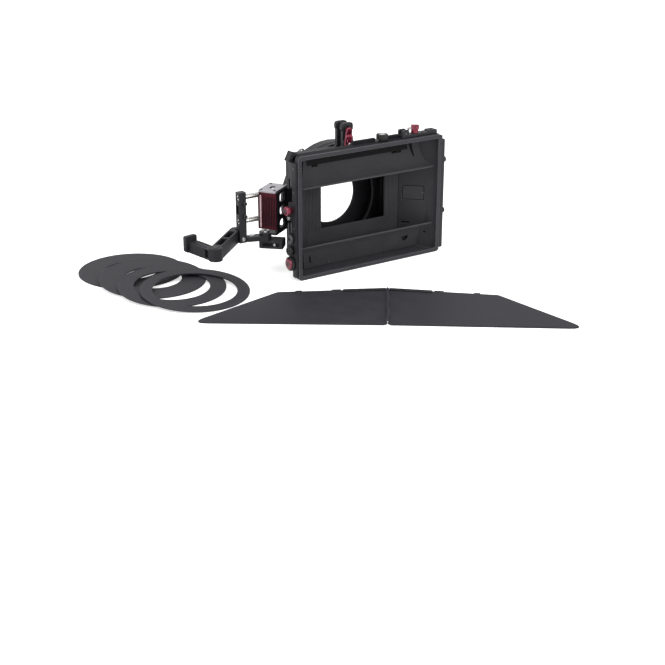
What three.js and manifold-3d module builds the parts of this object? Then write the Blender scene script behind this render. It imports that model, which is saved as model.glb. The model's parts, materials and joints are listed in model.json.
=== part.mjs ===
// Matte box for a film camera: a hood with light baffles, two filter stages with their trays, a rear
// ring housing, a swing-away bracket with its arm, a folding top flag and four step-down rings.
// Millimetres, +Z up, X across the box, +Y towards the lens, origin in the middle of the hood's flat foot.
import * as THREE from "three";
import { mergeVertices } from "three/addons/utils/BufferGeometryUtils.js";
import Module from "manifold-3d";

const wasm = await Module();
wasm.setup();

// Fits and cutters
const fit = 0.3; // gap between pieces that touch
const turnFit = 0.4; // gap round a piece that turns or slides
const overrun = 3; // how far a cutter passes the face it cuts
const fine = 40; // facets round a large circle
const coarse = 20; // facets round a small one
const gripFacets = 16; // facets round a knob
const pinFacets = 10;
const scoopSteps = 7; // flats along the curve of a baffle

// Hood
const hoodWidth = 230;
const hoodHeight = 166;
const hoodWall = 2.4;
const hoodCorner = 5;
const hoodFlat = 18; // depth of the flat top and foot
const sideFlat = 8; // depth of the straight sides
const hoodLip = 17; // the same two depths inside the hood
const sideLip = 7;
const rimFace = 5.5; // width of the frame round the front opening
const rimDepth = 3;
const hoodDepth = 43; // from the front edge to the matte
const throatWidth = 150; // inside width where the flare ends
const throatBottom = 13.5;
const throatTop = 145;
const seatWall = 3; // flange that the matte lies against

// Optical axis and matte
const axisHeight = 75.5;
const matteThickness = 2.7;
const matteOpening = 104.4;
const matteOpeningBottom = 50;
const matteOpeningTop = 112;

// Baffles
const baffleWidth = 219;
const baffleWall = 2;
const baffleCorner = 6;
const lipDepth = 5;
const scoopDepth = 20;
const upperLip = 121;
const lowerLip = 42.4;

// Filter stages and trays
const filterWidth = 143.5;
const filterHeight = 101.6;
const filterDepth = 4.2;
const filterLip = 5; // border that the filter rests on
const trayRim = 4.25; // tray beside its filter
const trayDepth = 6;
const trayFoot = 20;
const stageRim = 8; // stage beside its tray
const stageBottom = 6;
const stageTop = 150;
const stageDepth = 13.7;
const stageCorner = 9;
const pullX = -3;
const pullHead = 18; // width of the rounded head of a tray's pull
const pullHeadHeight = 9;
const pullStem = 15;
const pullFoot = 24;
const pullTop = 186;

// Rear plate, ring housing and rings
const rearPlateDepth = 3.4;
const ringRadius = 70;
const ringDepth = 3;
const fittedBore = 39.3;
const ringLedge = 4; // shoulder that the fitted ring lies on
const housingWall = 6.6;
const housingDepth = 26;
const shoulderDepth = 18;
const screwAngle = THREE.MathUtils.degToRad(125);
const screwShank = 2.2;
const screwHead = 5.5;
const screwHeadLength = 6;
const gripTooth = 0.6; // depth of the grooves round a knob

// Side rails, their bosses and knobs
const railDepth = [1.5, 10.5];
const railMargins = [4, 8]; // from the hood's foot and from its top
const railCorner = 2.5;
const rightRailWall = 6.5;
const bossHeights = [129, 57];
const bossRadius = 4;
const bossReach = 3.5;
const cleatHeight = 5; // small cleat over the right rail
const cleatWall = 4;
const leftRailWall = 3;
const knobDepth = 13;
const lugDepth = 20; // how far back the left rail's lugs carry the knobs
const lugHeights = [[12, 63], [79, 104]];

// Top of the hood
const bracketMargin = 4; // from the hood's right side
const bracketLength = 58;
const bracketY = [6, 17];
const bracketWall = 4;
const bracketBlock = new THREE.Vector2(11, 11); // length and height of its left end
const bracketEar = new THREE.Vector2(14, 6);
const leverPlace = 34; // from the bracket's right end
const leverHub = 5;
const leverTab = new THREE.Vector2(11, 8);
const leverWall = 4;
const thumbX = 23.4;
const thumbRadius = 8;
const thumbTop = 9.5;
const thumbWaist = 4.5;
const holderPlace = new THREE.Vector3(1.7, 17, -3.8); // from the hood's left top corner
const holderTilt = THREE.MathUtils.degToRad(27);
const holderSize = new THREE.Vector3(13.8, 10, 13.6);
const holderCorner = 1;

// Tray lock
const lockX = -5;
const lockPivotZ = 158;
const lockTop = 181;
const lockHub = 6.5;
const lockTip = 7;
const lockFootWidth = 14;
const lockWall = 3.2;

// Swing-away bracket, measured from the left front edge of the filter stages
const hingeCentre = new THREE.Vector2(-32.3, 11.9);
const hingeTurn = THREE.MathUtils.degToRad(34.5);
const hingeLength = 38;
const hingeWidth = 26;
const hingeTop = 113.5;
const hingeBottom = 53.8;
const hingeWall = 3;
const plateHoles = 3;
const webDepth = 8;
const pivot = new THREE.Vector2(-49, 4.4);
const pivotRadius = 3;
const eyeRadius = 8;
const lockBoxCentre = new THREE.Vector2(-40, 2.2);
const lockBoxTurn = THREE.MathUtils.degToRad(-43.5);
const lockBoxLength = 32;
const lockBoxWidth = 20;
const lockBoxBottom = 35.5;
const postX = [-87, -76];
const postY = [5.4, 15.4];
const postZ = [47, 115];
const postPocket = 4;
const rodRadius = 3.5;
const rodHeights = [75.5, 107.5];
const rodSink = 1.2; // how far a rod's end lies inside the post's outer face
const rodScrewRadius = 2.6;
const rodScrewReach = 2.5;
const rodScrewShift = 7.4; // from a rod to its screw

// Arm
const armBottom = 47;
const armTop = 64;
const armWidth = 13;
const armKnee = new THREE.Vector2(-145.5, -35.1);
const armTail = new THREE.Vector2(-152.8, 10.4);
const armHead = new THREE.Vector2(-85, 20.4);
const kneeRadius = 9;
const armWall = 2.5;
const armPocketShares = [[0.14, 0.46], [0.52, 0.84]]; // ends of the pockets along the long leg
const tailWidth = 14.5;
const tailDrop = 3; // the short leg's top lies this much lower
const tailSlotWidth = 1.4;
const tailSlotShares = [0.3, 0.9];
const tailPocketShares = [0.12, 0.28];
const hookWidth = 18;
const hookShift = 2.5;
const hookTop = 69;
const hookWall = 6;
const hookCorner = 5;

// Flag
const flagPlace = new THREE.Vector2(-73.5, -139.5);
const flagTurn = THREE.MathUtils.degToRad(-35.9);
const flagWall = 1.6;
const flagDepth = 124.8;
const flagEndDepth = 44.6;
const flagShortHalf = 140.6;
const flagLongHalf = 237;
const flagSweep = 2.6;
const flagTip = 21;
const flagNotch = 4;
const tabReach = 3;
const tabShares = [[0.427, 0.512], [0.782, 0.84]]; // places of the tabs along a half's far edge
const knuckleRadius = 1.7;
const knuckleCount = 5;
const flagPinRadius = 0.8;
const barHalf = 57;
const barHeight = 1.4;
const barDepth = 7;

// Loose rings
const ringWall = 2;
const looseBores = [36.5, 38, 49, 54];
const flagRingGap = 4; // between the flag's left edge and the last ring
const flagEdgeShare = 0.49; // place of the last ring along that edge
// From one ring's middle to the next, in ring radii
const ringStepShares = [[0.09, -0.72], [0.1, -0.59], [0.234, -0.46]];

// Geometry of one closed body as a solid that can be joined and cut, and back
function solidOf(geometry) {
  const bare = geometry.clone();
  bare.deleteAttribute("normal");
  bare.deleteAttribute("uv");
  const merged = mergeVertices(bare, 1e-4);
  return new wasm.Manifold(
    new wasm.Mesh({
      numProp: 3,
      vertProperties: merged.attributes.position.array,
      triVerts: new Uint32Array(merged.index.array),
    }),
  );
}

function geometryOf(solid) {
  const mesh = solid.getMesh();
  const geometry = new THREE.BufferGeometry();
  geometry.setAttribute("position", new THREE.BufferAttribute(mesh.vertProperties, 3));
  geometry.setIndex(new THREE.BufferAttribute(mesh.triVerts, 1));
  return geometry;
}

function join(first, ...rest) {
  return geometryOf(rest.reduce((sum, next) => sum.add(solidOf(next)), solidOf(first)));
}

function cut(first, ...tools) {
  return geometryOf(tools.reduce((left, tool) => left.subtract(solidOf(tool)), solidOf(first)));
}

function common(first, second) {
  return geometryOf(solidOf(first).intersect(solidOf(second)));
}

// Box between two values on each axis
function block([x0, x1], [y0, y1], [z0, z1]) {
  const geometry = new THREE.BoxGeometry(x1 - x0, y1 - y0, z1 - z0);
  return geometry.translate((x0 + x1) / 2, (y0 + y1) / 2, (z0 + z1) / 2);
}

// Outline extruded along an axis: drawn in (x, y) for z, (x, z) for y and (y, z) for x
function extruded(shape, [from, to], axis, curveSegments = 5) {
  const geometry = new THREE.ExtrudeGeometry(shape, { depth: to - from, bevelEnabled: false, curveSegments });
  if (axis === "y") return geometry.translate(0, 0, -to).rotateX(Math.PI / 2);
  geometry.translate(0, 0, from);
  if (axis === "x") {
    const swap = new THREE.Matrix4().set(0, 0, 1, 0, 1, 0, 0, 0, 0, 1, 0, 0, 0, 0, 0, 1);
    geometry.applyMatrix4(swap);
  }
  return geometry;
}

// Cylinder along an axis, its centre given on the two other axes
function drum(radius, [from, to], axis, [a, b], steps = coarse, endRadius = radius) {
  const geometry = new THREE.CylinderGeometry(endRadius, radius, to - from, steps);
  const middle = (from + to) / 2;
  if (axis === "x") return geometry.rotateZ(-Math.PI / 2).translate(middle, a, b);
  if (axis === "y") return geometry.translate(a, middle, b);
  return geometry.rotateX(Math.PI / 2).translate(a, b, middle);
}

function tube(outer, inner, [from, to], axis, centre, steps = coarse) {
  return cut(
    drum(outer, [from, to], axis, centre, steps),
    drum(inner, [from - overrun, to + overrun], axis, centre, steps),
  );
}

// Closed outline whose corners are rounded; a corner may bring its own radius as a third value
function softOutline(points, radius) {
  const shape = new THREE.Shape();
  const corners = points.map(([x, y]) => new THREE.Vector2(x, y));
  corners.forEach((corner, i) => {
    const before = corners[(i + corners.length - 1) % corners.length];
    const after = corners[(i + 1) % corners.length];
    const reach = points[i][2] ?? radius;
    const start = corner.clone().add(before.clone().sub(corner).setLength(reach));
    const end = corner.clone().add(after.clone().sub(corner).setLength(reach));
    if (i === 0) shape.moveTo(start.x, start.y);
    else shape.lineTo(start.x, start.y);
    if (reach > 0) shape.quadraticCurveTo(corner.x, corner.y, end.x, end.y);
  });
  shape.closePath();
  return shape;
}

// Outline of a grip: small teeth round a circle
function toothed(radius, teeth, [a, b]) {
  const shape = new THREE.Shape();
  for (let i = 0; i < 2 * teeth; i++) {
    const angle = (i / teeth) * Math.PI;
    const reach = i % 2 ? radius - gripTooth : radius;
    const [x, y] = [a + reach * Math.cos(angle), b + reach * Math.sin(angle)];
    if (i === 0) shape.moveTo(x, y);
    else shape.lineTo(x, y);
  }
  shape.closePath();
  return shape;
}

function softRect([x0, x1], [y0, y1], radius) {
  return softOutline([[x0, y0], [x1, y0], [x1, y1], [x0, y1]], radius);
}

// Size at a depth, on the straight line between two (depth, size) pairs
function between([y0, size0], [y1, size1], y) {
  return size0 + ((size1 - size0) * (y - y0)) / (y1 - y0);
}

// Skin through rounded rectangles that stand one behind the other along Y
function loft(sections, arcSteps = 4) {
  const rings = sections.map(({ y, half, bottom, top, radius }) => {
    const ring = [];
    const centres = [[half - radius, top - radius], [radius - half, top - radius],
      [radius - half, bottom + radius], [half - radius, bottom + radius]];
    centres.forEach(([cx, cz], corner) => {
      for (let i = 0; i <= arcSteps; i++) {
        const angle = ((corner + i / arcSteps) * Math.PI) / 2;
        ring.push([cx + radius * Math.cos(angle), y, cz + radius * Math.sin(angle)]);
      }
    });
    return ring;
  });
  const count = rings[0].length;
  const triangles = [];
  for (let s = 0; s + 1 < rings.length; s++) {
    for (let i = 0; i < count; i++) {
      const a = s * count + i;
      const b = s * count + ((i + 1) % count);
      triangles.push(a, b, b + count, a, b + count, a + count);
    }
  }
  const last = (rings.length - 1) * count;
  for (let i = 1; i + 1 < count; i++) {
    triangles.push(0, i + 1, i, last, last + i, last + i + 1);
  }
  const geometry = new THREE.BufferGeometry();
  geometry.setAttribute("position", new THREE.Float32BufferAttribute(rings.flat(2), 3));
  const turned = triangles.flatMap((_, i) => (i % 3 ? [] : [triangles[i], triangles[i + 2], triangles[i + 1]]));
  geometry.setIndex(turned);
  return geometry;
}

// Materials
const finishes = {
  moulded: { color: 0x2a2a2e, roughness: 0.7, metalness: 0 },
  inner: { color: 0x161617, roughness: 0.9, metalness: 0 },
  anodised: { color: 0x2c2c30, roughness: 0.45, metalness: 0.7 },
  grey: { color: 0xa9a6ad, roughness: 0.4, metalness: 0.8 },
  red: { color: 0x8a1830, roughness: 0.35, metalness: 0.7 },
  steel: { color: 0xb5b2ae, roughness: 0.25, metalness: 1 },
  sheet: { color: 0x3a3a40, roughness: 0.6, metalness: 0 },
  rubber: { color: 0x1c1c1e, roughness: 0.9, metalness: 0 },
};

const matteBox = new THREE.Group();
matteBox.name = "matte_box";
matteBox.position.y = -hoodFlat / 2; // the origin lies in the middle of the hood's foot

function piece(name, geometry, finish, parent = matteBox) {
  const mesh = new THREE.Mesh(geometry, new THREE.MeshStandardMaterial(finishes[finish]));
  mesh.name = name;
  parent.add(mesh);
  return mesh;
}

// Hood: a thin box, its sides and then its top and bottom running in towards the matte
const halfHood = hoodWidth / 2;
const halfThroat = throatWidth / 2;
const seatFront = hoodDepth + matteThickness + 2 * fit;
const seatBack = seatFront + seatWall;

// Outside of the hood, grown by a gap where a neighbour is cut to it
function hoodOutside(gap) {
  const front = { bottom: -gap, top: hoodHeight + gap, radius: hoodCorner };
  const back = {
    half: halfThroat + hoodWall + gap,
    bottom: throatBottom - hoodWall - gap,
    top: throatTop + hoodWall + gap,
    radius: hoodCorner,
  };
  const flared = between([sideFlat, halfHood], [seatFront, halfThroat + hoodWall], hoodFlat);
  return loft([
    { y: -gap, half: halfHood + gap, ...front },
    { y: sideFlat, half: halfHood + gap, ...front },
    { y: hoodFlat, half: flared + gap, ...front },
    { y: seatFront, ...back },
    { y: seatBack, ...back },
  ]);
}

const innerHalf = halfHood - hoodWall;
const innerTop = hoodHeight - hoodWall;
const halfInside = (y) => between([sideLip, innerHalf], [hoodDepth, halfThroat], y);
const topInside = (y) => between([hoodLip, innerTop], [hoodDepth, throatTop], y);
const bottomInside = (y) => between([hoodLip, hoodWall], [hoodDepth, throatBottom], y);

function makeHood() {
  const front = { bottom: hoodWall, top: innerTop, radius: hoodCorner - hoodWall };
  const back = { half: halfThroat, bottom: throatBottom, top: throatTop, radius: hoodCorner - hoodWall };
  const inside = loft([
    { y: rimDepth, half: innerHalf, ...front },
    { y: sideLip, half: innerHalf, ...front },
    { y: hoodLip, half: halfInside(hoodLip), ...front },
    { y: hoodDepth, ...back },
    { y: seatFront, ...back },
  ]);
  const mouth = extruded(
    softRect([rimFace - halfHood, halfHood - rimFace], [rimFace, hoodHeight - rimFace], hoodCorner - hoodWall),
    [-overrun, rimDepth + overrun],
    "y",
  );
  const border = 2 * hoodWall + seatWall;
  const window = extruded(
    softRect(
      [border - halfThroat, halfThroat - border],
      [throatBottom + border, throatTop - border],
      hoodCorner,
    ),
    [hoodDepth, seatBack + overrun],
    "y",
  );
  return cut(hoodOutside(0), inside, mouth, window);
}
piece("hood_shell", makeHood(), "moulded");

// Matte: the removable plate that masks the light to the picture's shape
function makeMatte() {
  const plate = extruded(
    softRect([fit - halfThroat, halfThroat - fit], [throatBottom + fit, throatTop - fit], hoodWall),
    [hoodDepth + fit, hoodDepth + fit + matteThickness],
    "y",
  );
  const opening = block(
    [-matteOpening / 2, matteOpening / 2],
    [hoodDepth - overrun, seatBack],
    [matteOpeningBottom, matteOpeningTop],
  );
  return cut(plate, opening);
}
piece("picture_matte", makeMatte(), "inner");

// Baffles: curved scoops from a lip near the rim back to the hood's top and bottom walls
const scoopBack = lipDepth + scoopDepth;

function makeBaffle(lip, wallHeight) {
  const direction = Math.sign(wallHeight - lip);
  const rise = Math.abs(wallHeight - lip) - fit;
  const curve = (wall, i) => {
    const angle = ((i / scoopSteps) * Math.PI) / 2;
    const y = lipDepth + (scoopDepth - wall) * Math.sin(angle);
    return new THREE.Vector2(y, lip + direction * (wall + (rise - wall) * (1 - Math.cos(angle))));
  };
  const steps = [...Array(scoopSteps + 1).keys()];
  const outline = steps.map((i) => curve(0, i)).concat(steps.reverse().map((i) => curve(baffleWall, i)));
  const scoop = extruded(new THREE.Shape(outline), [-baffleWidth / 2, baffleWidth / 2], "x");
  const front = baffleWidth / 2;
  const back = halfInside(scoopBack) - hoodCorner / 2;
  const plan = softOutline([
    [-front, lipDepth - fit, baffleCorner],
    [front, lipDepth - fit, baffleCorner],
    [back, scoopBack + fit],
    [-back, scoopBack + fit],
  ], 0);
  return common(scoop, extruded(plan, [0, hoodHeight], "z"));
}
piece("upper_baffle", makeBaffle(upperLip, topInside(scoopBack)), "inner");
piece("lower_baffle", makeBaffle(lowerLip, bottomInside(scoopBack)), "inner");

// Filter stages: two frames, one behind the other, each with a slot for a tray from above
const halfTray = filterWidth / 2 + trayRim;
const halfStage = halfTray + stageRim;
const stageFronts = [seatBack + fit, seatBack + 2 * fit + stageDepth];
const rearPlateFront = stageFronts[1] + stageDepth + fit;

function makeStage(front) {
  const back = front + stageDepth;
  const middle = (front + back) / 2;
  const slot = trayDepth / 2 + turnFit;
  const body = extruded(
    softRect([-halfStage, halfStage], [stageBottom, stageTop], stageCorner),
    [front, back],
    "y",
  );
  const window = extruded(
    softRect(
      [filterLip - filterWidth / 2, filterWidth / 2 - filterLip],
      [axisHeight - filterHeight / 2 + filterLip, axisHeight + filterHeight / 2 - filterLip],
      filterLip,
    ),
    [front - overrun, back + overrun],
    "y",
  );
  const pocket = block(
    [-halfTray - turnFit, halfTray + turnFit],
    [middle - slot, middle + slot],
    [trayFoot, stageTop + overrun],
  );
  return cut(body, window, pocket);
}

// Tray: a frame with a pocket for one filter and a round-headed pull at the top
function makeTray(front) {
  const middle = front + stageDepth / 2;
  const [y0, y1] = [middle - trayDepth / 2, middle + trayDepth / 2];
  const plate = block([-halfTray, halfTray], [y0, y1], [trayFoot + fit, stageTop]);
  const window = extruded(
    softRect(
      [filterLip - filterWidth / 2, filterWidth / 2 - filterLip],
      [axisHeight - filterHeight / 2 + filterLip, axisHeight + filterHeight / 2 - filterLip],
      filterLip,
    ),
    [y0 - overrun, y1 + overrun],
    "y",
  );
  const pocket = block(
    [-filterWidth / 2, filterWidth / 2],
    [y0 - overrun, y0 + filterDepth],
    [axisHeight - filterHeight / 2, axisHeight + filterHeight / 2],
  );
  const base = stageTop - fit;
  const shoulder = pullTop - pullHeadHeight;
  const right = [
    [pullFoot / 2, base, 0],
    [pullStem / 2, base + (pullFoot - pullStem) / 2, hoodWall],
    [pullStem / 2, shoulder - (pullHead - pullStem) / 2, hoodWall / 2],
    [pullHead / 2, shoulder, hoodWall / 2],
    [pullHead / 2, pullTop, pullHeadHeight / 2],
  ];
  const left = right.map(([x, z, radius]) => [-x, z, radius]).reverse();
  const outline = [...right, ...left].map(([x, z, radius]) => [pullX + x, z, radius]);
  const pull = extruded(softOutline(outline, 0), [y0 + fit, y1 - fit], "y");
  return join(cut(plate, window, pocket), pull);
}
["front", "rear"].forEach((place, i) => {
  piece(`${place}_stage`, makeStage(stageFronts[i]), "anodised");
  piece(`${place}_tray`, makeTray(stageFronts[i]), "anodised");
});

// Rear plate, and the round housing that clamps a step-down ring over the lens
const housingRadius = ringRadius + turnFit + housingWall;
const shoulderRadius = ringRadius - ringLedge;
const housingFront = rearPlateFront + rearPlateDepth + fit;
const housingBack = housingFront + housingDepth;
const fittedFront = housingFront + shoulderDepth + fit;
const boreRadius = ringRadius + turnFit;

function makeRearPlate() {
  const plate = extruded(
    softRect([-halfStage, halfStage], [stageBottom, stageTop], stageCorner),
    [rearPlateFront, rearPlateFront + rearPlateDepth],
    "y",
  );
  const hole = drum(
    shoulderRadius - stageCorner,
    [rearPlateFront - overrun, housingFront + overrun],
    "y",
    [0, axisHeight],
    fine,
  );
  return cut(plate, hole);
}
piece("rear_plate", makeRearPlate(), "anodised");

const screwMiddle = fittedFront + ringDepth / 2;

function radial(geometry) {
  return geometry.rotateY(-screwAngle).translate(0, 0, axisHeight);
}

function makeHousing() {
  const body = drum(housingRadius, [housingFront, housingBack], "y", [0, axisHeight], fine);
  const floorCut = block(
    [-housingRadius, housingRadius],
    [housingFront - overrun, housingBack + overrun],
    [-housingRadius, 0],
  );
  const bore = drum(boreRadius, [fittedFront - fit, housingBack + overrun], "y", [0, axisHeight], fine);
  const throat = drum(shoulderRadius, [housingFront - overrun, housingBack], "y", [0, axisHeight], fine);
  const boss = radial(drum(screwHead, [boreRadius + fit, housingRadius + fit], "x", [screwMiddle, 0]));
  const screwHole = radial(
    drum(screwShank + turnFit, [ringRadius - overrun, housingRadius + screwHead], "x", [screwMiddle, 0]),
  );
  return cut(join(body, boss), floorCut, bore, throat, screwHole);
}
piece("ring_housing", makeHousing(), "anodised");

function makeClampScrew() {
  const seat = housingRadius + 2 * fit;
  const shank = drum(screwShank, [boreRadius + fit, seat + fit], "x", [screwMiddle, 0]);
  const head = extruded(toothed(screwHead, gripFacets, [screwMiddle, 0]), [seat, seat + screwHeadLength], "x");
  return radial(join(shank, head));
}
piece("ring_clamp_screw", makeClampScrew(), "anodised");
piece(
  "fitted_ring",
  tube(ringRadius, fittedBore, [fittedFront, fittedFront + ringDepth], "y", [0, axisHeight], fine),
  "sheet",
);

// Side rails on the hood: the right one carries bosses, the left one the knobs on its lugs
const railHeights = [railMargins[0], hoodHeight - railMargins[1]];

function makeRightRail() {
  const inner = halfHood + fit;
  const outer = inner + rightRailWall;
  const rail = extruded(softRect(railDepth, railHeights, railCorner), [inner, outer], "x");
  const middle = (railDepth[0] + railDepth[1]) / 2;
  const bosses = bossHeights.map((z) => drum(bossRadius, [outer - fit, outer + bossReach], "x", [middle, z]));
  const cleat = extruded(
    softRect(
      [railDepth[0] + railCorner, railDepth[1]],
      [railHeights[1] - cleatWall, railHeights[1] + cleatHeight],
      railCorner / 2,
    ),
    [inner, inner + cleatWall],
    "x",
  );
  return join(rail, cleat, ...bosses);
}
piece("right_rail", makeRightRail(), "anodised");

const leftFace = -halfHood - fit - leftRailWall;

// Knobs on the left rail. Each profile is in shares of its radius and its length, from the seat outwards
const leftKnobs = [
  { name: "red_lock_knob", height: 94, radius: 6, length: 9, finish: "red", teeth: 14, gripShares: [0.45, 0.9],
    profileShares: [[0.7, 0], [0.7, 0.35], [0.88, 0.4], [0.88, 0.92], [0.76, 1]] },
  { name: "silver_screw", height: 84.5, radius: 2.6, length: 5, finish: "steel", teeth: 0,
    profileShares: [[1, 0], [1, 0.85], [0.8, 1]] },
  { name: "grey_lock_knob", height: 55.3, radius: 6.4, length: 3.5, finish: "grey", teeth: 0,
    profileShares: [[0.85, 0], [1, 0.2], [1, 0.7], [0.85, 1]] },
  { name: "black_lock_knob", height: 39.5, radius: 6.4, length: 6, finish: "rubber", teeth: 0,
    profileShares: [[0.75, 0], [1, 0.25], [0.98, 0.6], [0.8, 0.86], [0.45, 1]] },
  { name: "red_knurled_knob", height: 22, radius: 9.5, length: 5.5, finish: "red", teeth: 24,
    gripShares: [0.05, 0.64], profileShares: [[0.6, 0], [0.6, 0.1], [0.78, 0.2], [0.78, 0.9], [0.7, 1]] },
];

function makeLeftRail() {
  const wall = [leftFace, -halfHood - fit];
  const rail = extruded(softRect(railDepth, railHeights, railCorner), wall, "x");
  const lugs = lugHeights.map((heights) =>
    extruded(softRect([railDepth[0], lugDepth], heights, railCorner), wall, "x"),
  );
  const holes = leftKnobs.map(({ height }) =>
    drum(screwShank + turnFit, [leftFace - overrun, overrun - halfHood], "x", [knobDepth, height]),
  );
  return cut(join(rail, ...lugs), ...holes);
}
piece("left_rail", makeLeftRail(), "anodised");

function makeSideKnob({ height, radius, length, teeth, gripShares, profileShares }) {
  const seat = leftFace - fit;
  const place = [knobDepth, height];
  const profile = profileShares.map(([r, reach]) => new THREE.Vector2(r * radius, reach * length));
  const ends = [new THREE.Vector2(0, 0), new THREE.Vector2(0, length)];
  const head = new THREE.LatheGeometry([ends[0], ...profile, ends[1]], gripFacets);
  head.rotateZ(Math.PI / 2).translate(seat, ...place);
  const shank = drum(screwShank, [seat - length / 3, -halfHood - 2 * fit], "x", place);
  if (teeth === 0) return join(head, shank);
  const [to, from] = gripShares.map((share) => seat - share * length);
  return join(head, shank, extruded(toothed(radius, teeth, place), [from, to], "x"));
}
for (const knob of leftKnobs) piece(knob.name, makeSideKnob(knob), knob.finish);

// Top of the hood: flag bracket with its clamp lever, a thumb knob and a tilted holder
const topFace = hoodHeight + fit;
const bracketMiddle = (bracketY[0] + bracketY[1]) / 2;
const bracketEnd = halfHood - bracketMargin;
const bracketX = [bracketEnd - bracketLength, bracketEnd];
const leverX = bracketEnd - leverPlace;

function makeFlagBracket() {
  const base = block(bracketX, bracketY, [topFace, topFace + bracketWall]);
  const end = extruded(
    softRect([bracketX[0], bracketX[0] + bracketBlock.x], [topFace, topFace + bracketBlock.y], hoodWall),
    bracketY,
    "y",
  );
  const ear = extruded(
    softRect([bracketX[1] - bracketEar.x, bracketX[1]], [topFace, topFace + bracketEar.y], hoodWall),
    bracketY,
    "y",
  );
  const channel = block(
    [bracketX[0] - overrun, leverX - leverHub - hoodWall],
    [bracketMiddle - hoodWall, bracketMiddle + hoodWall],
    [topFace + bracketWall, topFace + bracketBlock.y + overrun],
  );
  const hole = drum(
    screwShank + turnFit,
    [topFace - overrun, topFace + bracketWall + overrun],
    "z",
    [leverX, bracketMiddle],
  );
  return cut(join(base, end, ear), channel, hole);
}
piece("flag_bracket", makeFlagBracket(), "anodised");

function makeClampLever() {
  const seat = topFace + bracketWall + fit;
  const hub = drum(leverHub, [seat, seat + leverWall], "z", [leverX, bracketMiddle]);
  const shank = drum(screwShank, [topFace + fit, seat + fit], "z", [leverX, bracketMiddle]);
  const tab = extruded(
    softRect(
      [leverX - leverHub, leverX - leverHub + leverTab.x],
      [seat + leverWall - fit, seat + leverWall + leverTab.y],
      hoodWall,
    ),
    [bracketMiddle - leverWall / 2, bracketMiddle + leverWall / 2],
    "y",
  );
  return join(hub, shank, tab);
}
piece("flag_clamp_lever", makeClampLever(), "red");

function makeThumbKnob() {
  const place = [thumbX, bracketMiddle];
  const neck = drum(thumbWaist, [topFace, topFace + thumbTop / 2], "z", place);
  const grip = [topFace + thumbTop / 3, topFace + thumbTop];
  const head = extruded(toothed(thumbRadius, gripFacets, place), grip, "z");
  return join(neck, head);
}
piece("thumb_knob", makeThumbKnob(), "rubber");

function makeFlagHolder() {
  const half = holderSize.clone().divideScalar(2);
  const body = extruded(softRect([-half.x, half.x], [-half.z, half.z], holderCorner), [-half.y, half.y], "y");
  body.rotateY(holderTilt).translate(holderPlace.x - halfHood, holderPlace.y, holderPlace.z + hoodHeight);
  return cut(body, hoodOutside(fit));
}
piece("corner_flag_holder", makeFlagHolder(), "anodised");

// Tray lock: a red lever in front of the tray pulls, on a small foot
const lockFront = stageFronts[0] + (stageDepth - trayDepth) / 2 - fit - lockWall;

function makeLockFoot() {
  const foot = block(
    [lockX - lockFootWidth / 2, lockX + lockFootWidth / 2],
    [lockFront, lockFront + lockWall],
    [stageTop + fit, lockPivotZ + leverHub],
  );
  const hole = drum(
    screwShank + turnFit,
    [lockFront - overrun, lockFront + lockWall + overrun],
    "y",
    [lockX, lockPivotZ],
  );
  return cut(foot, hole);
}
piece("tray_lock_foot", makeLockFoot(), "anodised");

function makeLockLever() {
  const back = lockFront - fit;
  const hub = drum(lockHub, [back - leverWall, back], "y", [lockX, lockPivotZ]);
  const pin = drum(screwShank, [back - fit, lockFront + lockWall - fit], "y", [lockX, lockPivotZ]);
  const handle = extruded(
    softOutline([
      [lockX - lockHub, lockPivotZ, 0],
      [lockX + lockHub, lockPivotZ, 0],
      [lockX + lockTip / 2, lockTop],
      [lockX - lockTip / 2, lockTop],
    ], hoodWall),
    [back - leverWall, back - fit],
    "y",
  );
  return join(hub, pin, handle);
}
piece("tray_lock_lever", makeLockLever(), "red");

// Swing-away bracket beside the stages, its hinge block turned on a frame of its own
const bracket = new THREE.Group();
bracket.position.set(-halfStage, stageFronts[0], 0);
matteBox.add(bracket);
const hinge = new THREE.Group();
hinge.position.set(hingeCentre.x, hingeCentre.y, 0);
hinge.rotation.z = hingeTurn;
bracket.add(hinge);
const halfLength = hingeLength / 2;
const halfWidth = hingeWidth / 2;
const plateX = [-halfLength, halfLength];
const plateY = [-halfWidth, halfWidth];

// Pivot in the frame of the hinge block
const pivotLocal = pivot.clone().sub(hingeCentre).rotateAround(new THREE.Vector2(), -hingeTurn);

function makeHingeTop() {
  const plate = extruded(softRect(plateX, plateY, hingeWall), [hingeTop - hingeWall, hingeTop], "z");
  const slotHalf = hingeLength / 6;
  const slot = extruded(
    softRect([-slotHalf, slotHalf], [-hingeWall, hingeWall], hingeWall - fit),
    [hingeTop - hingeWall - overrun, hingeTop + overrun],
    "z",
  );
  return cut(plate, slot);
}
piece("hinge_top_plate", makeHingeTop(), "grey", hinge);

function makeHingeBase() {
  const plate = extruded(softRect(plateX, plateY, hingeWall), [hingeBottom, hingeBottom + hingeWall], "z");
  const lug = drum(eyeRadius, [hingeBottom, hingeBottom + hingeWall], "z", [pivotLocal.x, pivotLocal.y]);
  const hole = drum(
    pivotRadius + turnFit,
    [hingeBottom - overrun, hingeBottom + hingeWall + overrun],
    "z",
    [pivotLocal.x, pivotLocal.y],
  );
  return cut(join(plate, lug), hole);
}
piece("hinge_base_plate", makeHingeBase(), "anodised", hinge);

const wallSpan = [hingeBottom + hingeWall + fit, hingeTop - hingeWall - fit];

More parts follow.
